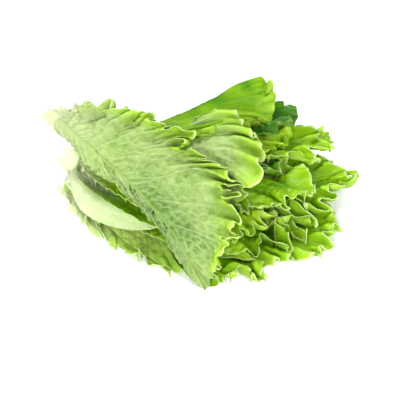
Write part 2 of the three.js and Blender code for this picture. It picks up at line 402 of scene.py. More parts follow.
@dataclass
class Leaf:
    """One leaf: a bent blade with a midrib, puckered between its veins and ruffled at its margin.

    The blade is worked out on a grid. Rows run round the margin, up the near
    side from the stem to the tip and back down the far side; columns run from
    the midrib out to the margin. A row's t is 0 at the stem and 1 at the tip,
    its side is 1 near and -1 far, and a column's f is 0 at the midrib and 1 at
    the margin. A point's a is its place along the midrib, 0 to 1, and its b is
    its distance from the midrib. Sizes are in mm and angles in degrees.
    """

    node: str
    spine: tuple[Triple, ...]          # four points along the midrib
    near: float                        # greatest width of the near side
    far: float                         # greatest width of the far side
    base: float = 14.0                 # width of each side at the stem
    roll: float = 0.0                  # how far the tip is turned about the midrib
    fold_near: Pair = (0.0, 0.0)       # sharp bend beside the midrib, at the stem and at the tip
    fold_far: Pair = (0.0, 0.0)
    fold_radius: float = 12.0
    curl_near: float = 0.0             # even bend from midrib to margin
    curl_far: float = 0.0
    facing: Facing = Facing.INSIDE_UP
    widest: float = 0.62               # where the blade is widest, as a place along the midrib
    seed: int = 1
    ruffle_near: float = 1.0
    ruffle_far: float = 1.0
    near_from: float = 0.0             # where the ruffles of each side begin
    far_from: float = 0.0
    notch: Triple = (8.0, 0.0, 2.6)    # a tear near the tip: place before it, depth, width
    covers: float = 1.0                # share of the width that presses on the leaves below
    placed: Triple | None = None       # shift from the spine's own place, else found from the solid
    lift: float = 2.0
    hem: float = 11.0                  # width of the rolled margin
    hem_turn: Pair = (45.0, 65.0)      # its middle turn and how far the turn wanders
    step: float = 0.62
    columns: int = 36
    slot: str = "leaf_green"
    finish: LeafFinish = field(default_factory=LeafFinish)
    waves: tuple[Wave, ...] = (Wave(40.0, 0.65, 0.15, 0.65), Wave(17.0, 1.75, 0.45, 0.50),
                               Wave(6.0, 0.95, 0.74, 0.26))
    thickness: float = 0.7
    rib: float = 2.6
    rib_width: float = 4.5
    pucker: float = 1.4
    pucker_size: float = 8.5
    vein_depth: float = 1.0
    swell: float = 1.2
    swell_size: float = 22.0
    netted_shadow: bool = False               # painted shade: dark green between the pale veins beside the midrib, for the leaves beneath showing through
    # worked out by lay_out and ruffled
    t: np.ndarray = field(init=False, repr=False)
    side: np.ndarray = field(init=False, repr=False)
    f: np.ndarray = field(init=False, repr=False)
    half: int = field(init=False, repr=False)
    row_place: np.ndarray = field(init=False, repr=False)
    offset: np.ndarray = field(init=False, repr=False)
    plain: np.ndarray = field(init=False, repr=False)
    amount: np.ndarray = field(init=False, repr=False)
    vein: np.ndarray = field(init=False, repr=False)
    puffed: np.ndarray = field(init=False, repr=False)
    a: np.ndarray = field(init=False, repr=False)
    u: np.ndarray = field(init=False, repr=False)
    v: np.ndarray = field(init=False, repr=False)

    # ---- the plain blade
    def control(self) -> np.ndarray:
        """Control points of the cubic curve through the four spine points at thirds of its length."""
        q = np.asarray(self.spine, float)
        return np.array([q[0], (-5 * q[0] + 18 * q[1] - 9 * q[2] + 2 * q[3]) / 6,
                         (2 * q[0] - 9 * q[1] + 18 * q[2] - 5 * q[3]) / 6, q[3]])

    def margin_at(self, t: np.ndarray, side: np.ndarray) -> tuple[np.ndarray, np.ndarray, np.ndarray]:
        """The margin's width coordinates.

        The place along the midrib is (1 - cos(pi t)) / 2 raised to a power that
        puts the middle at the widest place. The width is base (1 - t)^2 +
        greatest width sin(pi t)^0.85.

        Args:
            t: 0 at the stem, 1 at the tip.
            side: 1 on the near side, -1 on the far side.

        Returns:
            How far along the midrib (0 to 1), how far out (mm), and the side's greatest width (mm).
        """
        width = np.where(side > 0, self.near, self.far)
        along = ((1 - np.cos(np.pi * t)) / 2) ** (math.log(self.widest) / math.log(0.5))
        out = self.base * (1 - t) ** 2 + width * np.maximum(np.sin(np.pi * t), 0) ** 0.85
        return along, out, width

    def point(self, a: np.ndarray, b: np.ndarray, side: np.ndarray, width: np.ndarray,
              steps: int = 24) -> np.ndarray:
        """Points of the bent blade.

        From the midrib the cross-section turns by its fold angle within the fold
        radius and then evenly by its curl angle out to the margin; the section's
        path is the sum of short straight steps.

        Args:
            a: how far along the midrib, 0 to 1.
            b: how far out along the blade, mm.
            side: 1 near, -1 far.
            width: the side's greatest width, mm.
            steps: how many short steps the path has.

        Returns:
            Points in mm, last axis x, y, z.
        """
        p = self.control()
        s = a[..., None]
        centre = ((1 - s) ** 3 * p[0] + 3 * (1 - s) ** 2 * s * p[1]
                  + 3 * (1 - s) * s * s * p[2] + s ** 3 * p[3])
        tangent = unit((1 - s) ** 2 * (p[1] - p[0]) + 2 * (1 - s) * s * (p[2] - p[1])
                       + s * s * (p[3] - p[2]))
        across = unit(np.cross(tangent, np.array([0.0, 0.0, 1.0])))
        up = np.cross(across, tangent)
        r = np.radians(self.roll) * s
        sideways, normal = across * np.cos(r) + up * np.sin(r), up * np.cos(r) - across * np.sin(r)
        near = side > 0
        fold = np.radians(np.where(near, self.fold_near[0] + (self.fold_near[1] - self.fold_near[0]) * a,
                                   self.fold_far[0] + (self.fold_far[1] - self.fold_far[0]) * a))
        curl = np.radians(np.where(near, self.curl_near, self.curl_far))
        y, z = np.zeros_like(b), np.zeros_like(b)
        for k in range(steps):
            w = b * (k + 0.5) / steps
            phi = fold * ease(w / self.fold_radius) + curl * w / width
            y += np.cos(phi) * b / steps
            z += np.sin(phi) * b / steps
        return centre + sideways * (side * y)[..., None] + normal * z[..., None]

    def grid(self, t: np.ndarray, side: np.ndarray, f: np.ndarray, tooth: np.ndarray | float = 0.0
             ) -> tuple[np.ndarray, np.ndarray, np.ndarray]:
        """The blade's middle surface.

        Args:
            t: each row's place from stem to tip.
            side: each row's side.
            f: each column's place from midrib to margin.
            tooth: how far each row's margin stands out or in, mm.

        Returns:
            Points (rows, columns, 3), place along the midrib and width out (mm), both (rows, columns).
        """
        along, out, width = self.margin_at(t, side)
        rib = 0.86 * t ** 1.2
        a = rib[:, None] + (along - rib)[:, None] * f[None]
        b = out[:, None] * f[None] + np.reshape(tooth, (-1, 1)) * f[None] ** 8
        b = np.maximum(b, 0.0) * np.ones_like(a)
        points = self.point(a, b, side[:, None] * np.ones_like(a), width[:, None] * np.ones_like(a))
        return points, a, b

    def cad_offset(self) -> np.ndarray:
        """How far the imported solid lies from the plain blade, mm: from one box's middle to the other's."""
        if self.placed is not None:
            return np.array(self.placed)
        t = np.concatenate([np.linspace(0, 1, 13), np.linspace(1, 0, 13)[1:]])
        side = np.where(np.arange(25) <= 12, 1.0, -1.0)
        points, _, _ = self.grid(t, side, np.linspace(0, 1, 6))
        low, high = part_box(self.node)
        flat = points.reshape(-1, 3)
        return (np.array(low) + np.array(high)) / 2 / MM - (flat.min(0) + flat.max(0)) / 2

    def lay_out(self, samples: int = 600) -> None:
        """Works out the plain blade, in place, with rows at equal steps round the margin.

        Both sides get as many rows, at the mean of their places, so that the
        midrib's points pair up.

        Args:
            samples: how many points each side's margin is measured with.
        """
        fine = np.linspace(0, 1, samples)
        places = []
        for side in (1.0, -1.0):
            points, _, _ = self.grid(fine, np.full(samples, side), np.array([0.0, 1.0]))
            arc = distances_along(points[:, 1])
            n = max(40, int(arc[-1] / self.step))
            places.append(np.interp(np.linspace(0, arc[-1], n + 1), arc, fine))
        n = max(len(one) for one in places)
        both = sum(np.interp(np.linspace(0, 1, n), np.linspace(0, 1, len(one)), one) for one in places) / 2
        self.t = np.concatenate([both, both[::-1][1:]])
        self.side = np.where(np.arange(2 * n - 1) < n, 1.0, -1.0)
        self.half = n - 1
        self.row_place = np.concatenate([both, -both[::-1][1:]]) * MARGIN_SCALE + MARGIN_START
        self.f = 1 - (1 - np.linspace(0, 1, self.columns + 1)) ** 1.25
        self.offset = self.cad_offset()
        self.plain = self.grid(self.t, self.side, self.f)[0] + self.offset

    # ---- the living surface
    def pleats(self, arc: np.ndarray, length: np.ndarray, grow: np.ndarray, rng: Rng,
               steepest: float = 1.95, evened: float = 42.0) -> tuple[np.ndarray, np.ndarray]:
        """The snaking of the margin.

        The margin has more length than the line it follows, so it snakes. Each
        column's heading swings as a sum of sine waves whose swing grows towards
        the margin; the snake's path is the running sum of cos and sin of that
        heading, stretched to keep its overall length, with slow drift taken out.

        Args:
            arc: distance round the margin, mm.
            length: each row's step, mm (rows, columns).
            grow: how strongly each row ruffles (rows, 1).
            rng: the leaf's own random numbers.
            steepest: the greatest heading, radians.
            evened: the distance over which the path keeps its place, mm.

        Returns:
            Shifts along the margin and along the normal, mm (rows, columns).
        """
        f = self.f[None, :]
        theta = np.zeros_like(length)
        for wave in self.waves:
            rate = 1.0 + 0.35 * wander(arc, wave.size * 1.7, rng)
            phase = np.cumsum(2 * np.pi / wave.size * rate * np.gradient(arc))[:, None]
            phase = phase + 1.6 * wander(arc, wave.size * 2.2, rng)[:, None] * (1 - f)
            size_of = 1.0 + 0.45 * wander(arc, wave.size * 1.3, rng)[:, None]
            theta = theta + wave.swing * ease((f - wave.start) / wave.reach) * size_of * np.sin(phase)
        theta = steepest * np.tanh(theta * grow / steepest)
        window = int(evened / np.mean(np.diff(arc)))
        share = np.maximum(smooth_rows(np.cos(theta), window), 0.38)
        along = np.cumsum((np.cos(theta) / share - 1.0) * length, axis=0)
        out = np.cumsum(np.sin(theta) / share * length, axis=0)
        for _ in range(2):
            along = along - smooth_rows(along, window)
            out = out - smooth_rows(out, window)
        return along, out

    def hemmed(self, arc: np.ndarray, b: np.ndarray, grow: np.ndarray, rng: Rng
               ) -> tuple[np.ndarray, np.ndarray, np.ndarray]:
        """The rolling of the margin, up and back over the blade or down, by turns.

        Over the hem's width the cross-section turns evenly up to an angle that
        wanders round the margin; its path is the running sum of cos and sin.

        Args:
            arc: distance round the margin, mm.
            b: width out, mm (rows, columns).
            grow: how strongly each row ruffles (rows, 1).
            rng: the leaf's own random numbers.

        Returns:
            Shifts outwards and along the normal, mm, and the angle turned (rows, columns).
        """
        mean, swing = self.hem_turn
        turn = mean + swing * wander(arc, 19.0, rng) + 0.25 * swing * wander(arc, 8.0, rng)
        span = np.minimum(self.hem, 0.6 * b[:, -1:]) + 1e-6
        part = np.clip((b - (b[:, -1:] - span)) / span, 0.0, 1.0)
        psi = np.radians(turn)[:, None] * grow * part ** 1.3
        width = np.diff(b, axis=1, prepend=0.0)
        return np.cumsum((np.cos(psi) - 1.0) * width, axis=1), np.cumsum(np.sin(psi) * width, axis=1), psi

    def veins(self, a: np.ndarray, b: np.ndarray, rng: Rng) -> tuple[np.ndarray, np.ndarray]:
        """Side veins that fork on their way to the margin, and the net between them.

        Side veins follow the rows, bent a little by slow noise; each is a narrow
        bell curve of the distance from the nearest multiple of their spacing.
        More of them run in the outer part than beside the midrib.

        Args:
            a: place along the midrib, 0 to 1.
            b: width out, mm.
            rng: the leaf's own random numbers.

        Returns:
            Vein strength 0 to 1 and how puffed the blade is between veins, about -1 to 0.5.
        """
        u, v = a * RIB_SCALE, b * self.side[:, None]
        bend = 9.0 * wander_2d(u, v, 30.0, rng)
        place = self.row_place[:, None] + bend
        strength = np.zeros_like(a)
        for rank in SIDE_VEINS:
            off = np.abs((place / rank.spacing + 0.5) % 1.0 - 0.5) * rank.spacing
            reached = ease((self.f[None] - rank.start) / 0.15 + 0.2)
            strength = np.maximum(strength, rank.strength * np.exp(-(off / rank.half_width) ** 2) * reached)
        border = cells(u + bend, v, self.pucker_size, rng)
        net = np.exp(-(border / 0.6) ** 2)
        puffed = ease(border / (0.34 * self.pucker_size)) - 0.5 - 0.6 * strength
        return np.maximum(strength, 0.55 * net) * ease(b / 3.0) * self.vein_depth, puffed

    def ruffled(self) -> np.ndarray:
        """The blade with its puckers, its snaking and its rolled margin.

        Returns:
            Points (rows, columns, 3), mm.
        """
        rng = np.random.default_rng(self.seed)
        arc = distances_along(self.plain[:, -1])
        ruffle = np.where(self.side > 0, self.ruffle_near, self.ruffle_far)[:, None]
        self.amount = smooth_rows(ruffle, int(16 / self.step))
        begin = np.where(self.side > 0, self.near_from, self.far_from)
        grow = ease((self.t - begin) / 0.16)[:, None] * self.amount
        tooth = (1.9 * wander(arc, 2.5, rng) + 2.0 * wander(arc, 7.0, rng)) * grow[:, 0]
        place, depth, wide = self.notch
        tooth = tooth - depth * np.exp(-((arc[self.half] - place - arc) / wide) ** 2)
        base, a, b = self.grid(self.t, self.side, self.f, tooth)
        base = base + self.offset
        row_step = np.gradient(base, axis=0)
        heading, outward = unit(row_step), unit(np.gradient(base, axis=1))
        normal = self.normals(base)
        along, up = self.pleats(arc, np.linalg.norm(row_step, axis=-1), grow, rng)
        back, over, psi = self.hemmed(arc, b, grow, rng)
        self.vein, self.puffed = self.veins(a, b, rng)
        self.u, self.v, self.a = a * RIB_SCALE, b * self.side[:, None], a
        up = up + self.pucker * self.puffed * ease(b / 6.0) * -self.facing.value
        up = up + self.swell * wander_2d(self.u, self.v, self.swell_size, rng) * ease(b / 10)
        over = over + self.lift * ease((self.f[None, :] - 0.45) / 0.55) * grow
        turned = normal * np.cos(psi)[..., None] - outward * np.sin(psi)[..., None]
        return (base + heading * along[..., None] + outward * back[..., None]
                + normal * over[..., None] + turned * up[..., None])

    def normals(self, grid: np.ndarray) -> np.ndarray:
        """Normals of a grid of points, upwards on the whole, shared by both sides along the midrib.

        Args:
            grid: points (rows, columns, 3).

        Returns:
            Unit vectors of the same shape.
        """
        n = unit(np.cross(np.gradient(grid, axis=0), np.gradient(grid, axis=1)))
        n[:, 0] = unit(n[:, 0] + n[::-1, 0])
        return n if n[..., 2].sum() > 0 else -n

    # ---- the mesh
    def shell(self, middle: np.ndarray, material: bpy.types.Material) -> bpy.types.Object:
        """Gives the blade its thickness, its rib and its attributes.

        The rib stands out on the outer face, as a bell curve of the distance
        from the midrib that shrinks towards the tip.

        Args:
            middle: the blade's middle surface (rows, columns, 3), mm.
            material: the leaf's finish.

        Returns:
            The finished piece, a closed shell.
        """
        rows, cols = middle.shape[:2]
        normal = self.normals(middle)
        thick = self.thickness / 2 * (1.0 - 0.45 * self.f[None, :] ** 2)
        rib = self.rib * (1 - 0.93 * self.a) ** 1.6 * np.exp(-(np.abs(self.v) / self.rib_width) ** 2)
        inside_up = self.facing is Facing.INSIDE_UP
        top = middle + normal * (thick + (0 if inside_up else 1) * rib)[..., None]
        under = middle - normal * (thick + (1 if inside_up else 0) * rib)[..., None]
        under[..., 2] = np.maximum(under[..., 2], 0.1)
        top[..., 2] = np.maximum(top[..., 2], under[..., 2].clip(0.0, 0.1) + 0.25)
        # the midrib's points belong to both sides, so those of the far side are left out
        ids = np.arange(rows * cols).reshape(rows, cols)
        ids[self.half + 1:, 0] = ids[:self.half, 0][::-1]
        used = np.unique(ids)
        renumber = np.full(rows * cols, -1)
        renumber[used] = np.arange(len(used))
        verts = np.concatenate([top.reshape(-1, 3)[used], under.reshape(-1, 3)[used]]) * MM
        quads, odd = self.faces(renumber[ids], len(used))
        first, second, third, fourth = (verts[quads[:, k]] for k in range(4))
        volume = (first * (np.cross(second, third) + np.cross(third, fourth))).sum()
        if volume < 0:
            quads = quads[:, ::-1]
            odd = [corners[::-1] for corners in odd]
        mesh = bpy.data.meshes.new(self.node + "_blade")
        mesh.vertices.add(len(verts))
        mesh.vertices.foreach_set("co", verts.astype(np.float32).ravel())
        loops = np.concatenate([quads.ravel(), np.array(odd, dtype=quads.dtype).ravel()])
        starts = np.concatenate([np.arange(len(quads)) * 4, len(quads) * 4 + np.arange(len(odd)) * 3])
        mesh.loops.add(len(loops))
        mesh.loops.foreach_set("vertex_index", loops.astype(np.int32))
        mesh.polygons.add(len(starts))
        mesh.polygons.foreach_set("loop_start", starts.astype(np.int32))
        mesh.polygons.foreach_set("use_smooth", np.ones(len(starts), bool))
        mesh.update(calc_edges=True)
        mesh.validate()
        self.paint(mesh, used, inside_up)
        mesh.materials.append(material)
        piece = bpy.data.objects.new(self.node + "_blade", mesh)
        bpy.context.scene.collection.objects.link(piece)
        return piece

    @staticmethod
    def faces(ids: np.ndarray, n: int) -> tuple[np.ndarray, list[list[int]]]:
        """Faces of the closed shell: both sides, the margin's wall and the walls at the two end rows.

        Args:
            ids: numbers of the upper side's points (rows, columns).
            n: how many points each side has; the lower side's numbers are this much higher.

        Returns:
            The four-cornered faces, and the three-cornered ones at the midrib's end, where rows meet.
        """
        low = ids + n
        sheets = [(ids[:-1, :-1], ids[:-1, 1:], ids[1:, 1:], ids[1:, :-1]),
                  (low[:-1, :-1], low[1:, :-1], low[1:, 1:], low[:-1, 1:]),
                  (ids[:-1, -1], low[:-1, -1], low[1:, -1], ids[1:, -1]),
                  (ids[0, :-1], low[0, :-1], low[0, 1:], ids[0, 1:]),
                  (ids[-1, :-1], ids[-1, 1:], low[-1, 1:], low[-1, :-1])]
        polys = np.concatenate([np.stack(sheet, -1).reshape(-1, 4) for sheet in sheets])
        narrow = (polys == np.roll(polys, 1, axis=1)).any(axis=1)
        odd = [list(dict.fromkeys(corners)) for corners in polys[narrow].tolist()]
        return polys[~narrow], [corners for corners in odd if len(corners) == 3]

    def paint(self, mesh: bpy.types.Mesh, used: np.ndarray, inside_up: bool) -> None:
        """Writes what the finish reads at each point of the mesh.

        Args:
            mesh: the leaf's mesh, upper side's points first.
            used: which points of the grid the mesh has.
            inside_up: whether the upper side is the leaf's inner face.
        """
        n = len(used)
        from_rib = np.abs(self.v)
        # painted shade beside the midrib: darker green in the cells of the pale net, for the leaves beneath
        # seen through the blade
        beside_rib = np.exp(-((self.a - 0.66) / 0.22) ** 4 - (from_rib / 20.0) ** 3) * ease(from_rib / 2.0)
        shade = beside_rib * (0.45 + 0.45 * ease((self.puffed + 0.45) / 0.5)) * float(self.netted_shadow)
        edge = self.f[None, :] * np.clip(self.amount, 0.0, 1.0)
        values = {name: np.tile(one.ravel()[used], 2)
                  for name, one in (("along", self.a), ("edge", edge), ("vein", self.vein), ("shade", shade))}
        values["inner"] = np.repeat([float(inside_up), float(not inside_up)], n)
        for name, one in values.items():
            mesh.attributes.new(name, "FLOAT", "POINT").data.foreach_set("value", one.astype(np.float32))
        place = np.stack([self.u.ravel()[used], self.v.ravel()[used], np.full(n, 3.0 * self.seed)], 1) * MM
        mesh.attributes.new("blade", "FLOAT_VECTOR", "POINT").data.foreach_set(
            "vector", np.tile(place, (2, 1)).astype(np.float32).ravel())


class Heap:
    """Keeps the leaves out of each other, from the top one down, with heights on a square net in plan."""

    DENT = 2.0                # how far a leaf may sink into the blade below it, mm
    GAP = 0.9                 # what it keeps from the leaf on top of it, mm
    MOST_LIFT = 12.0
    MOST_DROP = 11.0
    LIFT_REACH = (16, 6)      # rows and columns over which a push is shared
    DROP_REACH = (24, 8)
    FLOOR = 0.5
    CELL = 2.0
    LOW = (-175.0, -145.0)
    SHAPE = (180, 160)

    def __init__(self) -> None:
        """Starts with nothing on top."""
        self.roof = np.full(self.SHAPE, 400.0)

    def cell(self, points: np.ndarray) -> tuple[np.ndarray, np.ndarray]:
        """The net's cell under each point.

        Args:
            points: points in mm.

        Returns:
            Two index arrays.
        """
        i = np.clip(((points[..., 0] - self.LOW[0]) / self.CELL).astype(int), 0, self.SHAPE[0] - 1)
        j = np.clip(((points[..., 1] - self.LOW[1]) / self.CELL).astype(int), 0, self.SHAPE[1] - 1)
        return i, j

    def read(self, net: np.ndarray, points: np.ndarray) -> np.ndarray:
        """Reads a net at points, in proportion between the cells' middles.

        Args:
            net: heights on the net.
            points: points in mm.

        Returns:
            Heights.
        """
        x = np.clip((points[..., 0] - self.LOW[0]) / self.CELL - 0.5, 0, self.SHAPE[0] - 1.001)
        y = np.clip((points[..., 1] - self.LOW[1]) / self.CELL - 0.5, 0, self.SHAPE[1] - 1.001)
        i, j = x.astype(int), y.astype(int)
        p, q = x - i, y - j
        return (net[i, j] * (1 - p) * (1 - q) + net[i + 1, j] * p * (1 - q)
                + net[i, j + 1] * (1 - p) * q + net[i + 1, j + 1] * p * q)

    def ground(self, below: list[Leaf]) -> np.ndarray:
        """Highest plain blade over each cell among the leaves still to come, the ruffled margins left out.

        Args:
            below: the leaves lower in the pile.

        Returns:
            Heights on the net, 0 where nothing is below.
        """
        net = np.zeros(self.SHAPE)
        for leaf in below:
            solid = leaf.plain[:, leaf.f < 0.8]
            np.maximum.at(net, self.cell(solid), solid[..., 2])
        return net

    @staticmethod
    def spread(push: np.ndarray, reach: tuple[int, int]) -> np.ndarray:
        """Spreads a push over its neighbours: the highest within reach, then averaged over the same reach.

        Args:
            push: pushes on a leaf's grid, mm.
            reach: how many rows and columns away a push is felt.

        Returns:
            Smooth pushes.
        """
        for axis in (0, 1):
            wide = push
            for k in range(1, reach[axis] + 1):
                ahead = np.concatenate([np.take(push, np.arange(k, push.shape[axis]), axis),
                                        np.repeat(np.take(push, [-1], axis), k, axis)], axis)
                behind = np.concatenate([np.repeat(np.take(push, [0], axis), k, axis),
                                         np.take(push, np.arange(push.shape[axis] - k), axis)], axis)
                wide = np.maximum(wide, np.maximum(ahead, behind))
            window = 2 * reach[axis] + 1
            push = smooth_rows(wide, window) if axis == 0 else smooth_rows(wide.T, window).T
        return push

    def press(self, middle: np.ndarray, below: list[Leaf]) -> np.ndarray:
        """Moves a leaf's points up off the blades below it and down from the leaf that lies on it.

        Args:
            middle: the leaf's points, mm.
            below: the leaves it lies on.

        Returns:
            The moved points.
        """
        out = middle.copy()
        lift = np.clip(self.read(self.ground(below), out) - self.DENT - out[..., 2], 0.0, self.MOST_LIFT)
        out[..., 2] += self.spread(lift, self.LIFT_REACH)
        drop = np.clip(out[..., 2] - self.read(self.roof, out) + self.GAP, 0.0, self.MOST_DROP)
        out[..., 2] -= self.spread(drop, self.DROP_REACH)
        out[..., 2] = self.FLOOR * (1.0 + np.logaddexp(0.0, (out[..., 2] - self.FLOOR) / self.FLOOR))
        return out

    def add(self, middle: np.ndarray) -> None:
        """Counts a laid leaf as part of the roof over the next ones.

        Args:
            middle: the leaf's points, mm, or those of its part that presses on the others.
        """
        np.minimum.at(self.roof, self.cell(middle), middle[..., 2])


@dataclass
class Stem:
    """The short cut stem: a tapered stub with shallow leaf scars round it."""

    node: str = "stem"
    heading: float = -21.0  # degrees in plan
    # radius and place along the axis, mm, from the cut face to the top
    outline: tuple[Pair, ...] = ((0, -11), (3, -10.9), (6, -10.95), (8.4, -10.8), (9.2, -10.2), (9.5, -9),
                                 (9.7, -5), (10.1, 0), (10.5, 5), (10.9, 9), (10.2, 10.4), (8.5, 10.9),
                                 (5, 11), (0, 11))
    rings: int = 60
    turns: int = 96
    scar: float = 0.035
    finish: StemFinish = field(default_factory=StemFinish)

    def build(self) -> bpy.types.Object:
        """Makes the stem as a profile carried round its axis.

        The radius is the outline's own, less a few shallow waves round it and
        along it; each end closes on one point on the axis.

        Returns:
            The finished piece.
        """
        outline = np.array(self.outline, float)
        arc = distances_along(outline)
        s = np.linspace(0, arc[-1], self.rings)
        r, x = np.interp(s, arc, outline[:, 0])[:, None], np.interp(s, arc, outline[:, 1])[:, None]
        turn = np.linspace(0, 2 * np.pi, self.turns + 1)[None, :-1]
        scars = 1 + np.sin(5 * turn + 0.35 * x) * np.cos(3 * turn - 0.2 * x)
        radius = r * (1 - self.scar * ease(r / 8) * scars)
        y, z = radius * np.cos(turn), radius * np.sin(turn)
        h = math.radians(self.heading)
        points = np.stack([x * math.cos(h) - y * math.sin(h), x * math.sin(h) + y * math.cos(h), z], -1)
        low, high = (np.array(corner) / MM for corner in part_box(self.node))
        points = points + (low + high) / 2
        verts = np.concatenate([points[0, :1], points[1:-1].reshape(-1, 3), points[-1, :1]]) * MM
        ids = np.arange(len(verts) - 2).reshape(self.rings - 2, self.turns) + 1
        after = np.roll(ids, -1, axis=1)
        first, last = np.zeros_like(ids[0]), np.full_like(ids[0], len(verts) - 1)
        bands = np.stack([ids[:-1], after[:-1], after[1:], ids[1:]], -1).reshape(-1, 4)
        ends = np.concatenate([np.stack([first, after[0], ids[0]], -1),
                               np.stack([last, ids[-1], after[-1]], -1)])
        mesh = bpy.data.meshes.new("stem_stub")
        mesh.from_pydata(verts.tolist(), [], bands.tolist() + ends.tolist())
        ring_cut = ease((-9.8 - x[:, 0]) / 0.8)
        cut = np.concatenate([ring_cut[:1], np.repeat(ring_cut[1:-1], self.turns), ring_cut[-1:]])
        mesh.attributes.new("cut", "FLOAT", "POINT").data.foreach_set("value", cut.astype(np.float32))
        work = bmesh.new()
        work.from_mesh(mesh)
        bmesh.ops.recalc_face_normals(work, faces=work.faces)
        work.to_mesh(mesh)
        work.free()
        mesh.polygons.foreach_set("use_smooth", np.ones(len(mesh.polygons), bool))
        mesh.materials.append(self.finish.build())
        piece = bpy.data.objects.new("stem_stub", mesh)
        bpy.context.scene.collection.objects.link(piece)
        return piece


class LettuceHead:
    """The whole head: the stem and every leaf, shaped from the top of the pile to the bottom."""

    def __init__(self, leaves: list[Leaf], stem: Stem) -> None:
        """Keeps the leaves in the order they lie.

        Args:
            leaves: bottom to top.
            stem: the stem.
        """
        self.leaves = leaves
        self.stem = stem

    def build(self) -> None:
        """Makes every piece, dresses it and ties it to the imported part."""
        self.tie(self.stem.build(), self.stem.node, "stem_pale")
        for leaf in self.leaves:
            leaf.lay_out()
        heap = Heap()
        materials: dict[LeafFinish, bpy.types.Material] = {}
        for k, leaf in reversed(list(enumerate(self.leaves))):
            if leaf.finish not in materials:
                materials[leaf.finish] = leaf.finish.build()
            middle = heap.press(leaf.ruffled(), self.leaves[:k])
            heap.add(middle[:, leaf.f <= leaf.covers])
            self.tie(leaf.shell(middle, materials[leaf.finish]), leaf.node, leaf.slot)

    @staticmethod
    def tie(piece: bpy.types.Object, node: str, slot: str) -> None:
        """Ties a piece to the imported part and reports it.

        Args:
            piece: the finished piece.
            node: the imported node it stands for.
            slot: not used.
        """
        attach(piece, "root")
        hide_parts(node)
        log.info("%s: %d faces", piece.name, len(piece.data.polygons))


class Studio:
    """A plain pale table, soft light all round and the camera; lengths in metres."""

    TARGET = (-0.00044, -0.015, 0.030)
    DISTANCE = 1.0
    ELEVATION = 40.0
    WIDTH_AT_TARGET = 0.340
    SENSOR = 36.0
    SHIFT_Y = -0.0125
    ROOM_LIGHT = 0.50
    TABLE_SIZE = 8.0
    LAMP_AIM = (0.0, 0.0, 0.04)

    def build(self) -> None:
        """Makes the table, the lights and the camera."""
        self.table()
        world = bpy.data.worlds.new("soft_room")
        bpy.context.scene.world = world
        world.use_nodes = True
        background = world.node_tree.nodes["Background"]
        background.inputs["Color"].default_value = hex_linear("#ffffff")
        background.inputs["Strength"].default_value = self.ROOM_LIGHT
        self.lamp("key", (-0.35, 0.15, 1.15), 0.35, 14.5)
        self.lamp("side", (0.6, -0.6, 0.8), 0.35, 7.0)
        self.lamp("front", (-0.25, -1.1, 0.5), 0.6, 17.0)
        bpy.context.scene.view_settings.view_transform = "Standard"
        self.camera()

    def table(self) -> None:
        """Adds the table: white card, pressed board that is matt and gives an even pale ground."""
        bpy.ops.mesh.primitive_plane_add(size=self.TABLE_SIZE, location=(0, 0, 0))
        table = bpy.context.object
        table.name = "table"
        mat = empty_material("white_card")
        body = add_node(mat.node_tree, "ShaderNodeBsdfPrincipled",
                        {"in:Base Color": hex_linear("#f7f7f7"), "in:Roughness": 0.9})
        add_node(mat.node_tree, "ShaderNodeOutputMaterial", None, {"Surface": body.outputs[0]})
        table.data.materials.append(mat)

    def camera(self) -> None:
        """Adds the camera, above the front and looking down at the target."""
        data = bpy.data.cameras.new("camera")
        data.sensor_width = self.SENSOR
        data.lens = self.SENSOR * self.DISTANCE / self.WIDTH_AT_TARGET
        data.shift_y = self.SHIFT_Y
        cam = bpy.data.objects.new("camera", data)
        bpy.context.scene.collection.objects.link(cam)
        e = math.radians(self.ELEVATION)
        target = Vector(self.TARGET)
        cam.location = target + Vector((0, -math.cos(e), math.sin(e))) * self.DISTANCE
        cam.rotation_euler = (target - cam.location).to_track_quat("-Z", "Y").to_euler()
        bpy.context.scene.camera = cam

    def lamp(self, name: str, place: Triple, size: float, watts: float) -> None:
        """Adds a soft square light aimed at the head.

        Args:
            name: the light's name.
            place: where it hangs.
            size: its side.
            watts: its power.
        """
        data = bpy.data.lights.new(name, "AREA")
        data.size = size
        data.energy = watts
        lamp = bpy.data.objects.new(name, data)
        bpy.context.scene.collection.objects.link(lamp)
        lamp.location = place
        lamp.rotation_euler = (Vector(self.LAMP_AIM) - Vector(place)).to_track_quat("-Z", "Y").to_euler()


# ---------------------------------------------------------------- the leaves
# Leaves deep in the hollows of the head: the darkest green, painted shade for the shadow the leaves over them
# cast.
SHADED = LeafFinish(name="leaf_painted_shade_blade", inner_deep="#1f5200", inner_light="#387600", outer_green="#4f8a10",
                  outer_pale="#6fa428", margin="#6fa812", rim_highlight="#b4d070", glow="#6c9c00")
# A soft lower leaf: its own light yellow-green, lightened further all over as painted light for the light
# falling on it from the front; paler still over its lower half.
SOFT_LIT = LeafFinish(name="leaf_soft_lit_blade", inner_deep="#aed058", inner_light="#cce080", margin="#b4d84a",
                  bleach_from=0.1, bleach_to=0.6)
# Outer faces: greyer and matt, with pale veins; beside the midrib the dark green between them is painted
# shade of the leaves beneath.
OUTER = LeafFinish(name="leaf_outer_blade", outer_green="#7a9c3c", outer_pale="#9cb464", vein="#c8d6a0",
                   glow="#9ab838", base_pale="#b4c48c", shadow="#3a6e16")
# The folded leaf: its thick lower half is nearly all rib, pale and even; its own pale colour, lightened
# further as painted light against the shade of the leaf over it.
FOLDED_LIT = LeafFinish(name="leaf_folded_lit_blade", outer_green="#bcd486", outer_pale="#d2e2aa", vein="#e4ecc8",
                   glow="#d0e492", base_pale="#dfe8bc", bleach_from=0.05, bleach_to=0.75)
# Yellower and brighter than the others: painted light, for light shining through these leaves and falling on
# them.
YELLOW_LIT = LeafFinish(name="leaf_lit_yellow_blade", inner_deep="#86b80c", inner_light="#b4dc1c", glow="#c4e000")
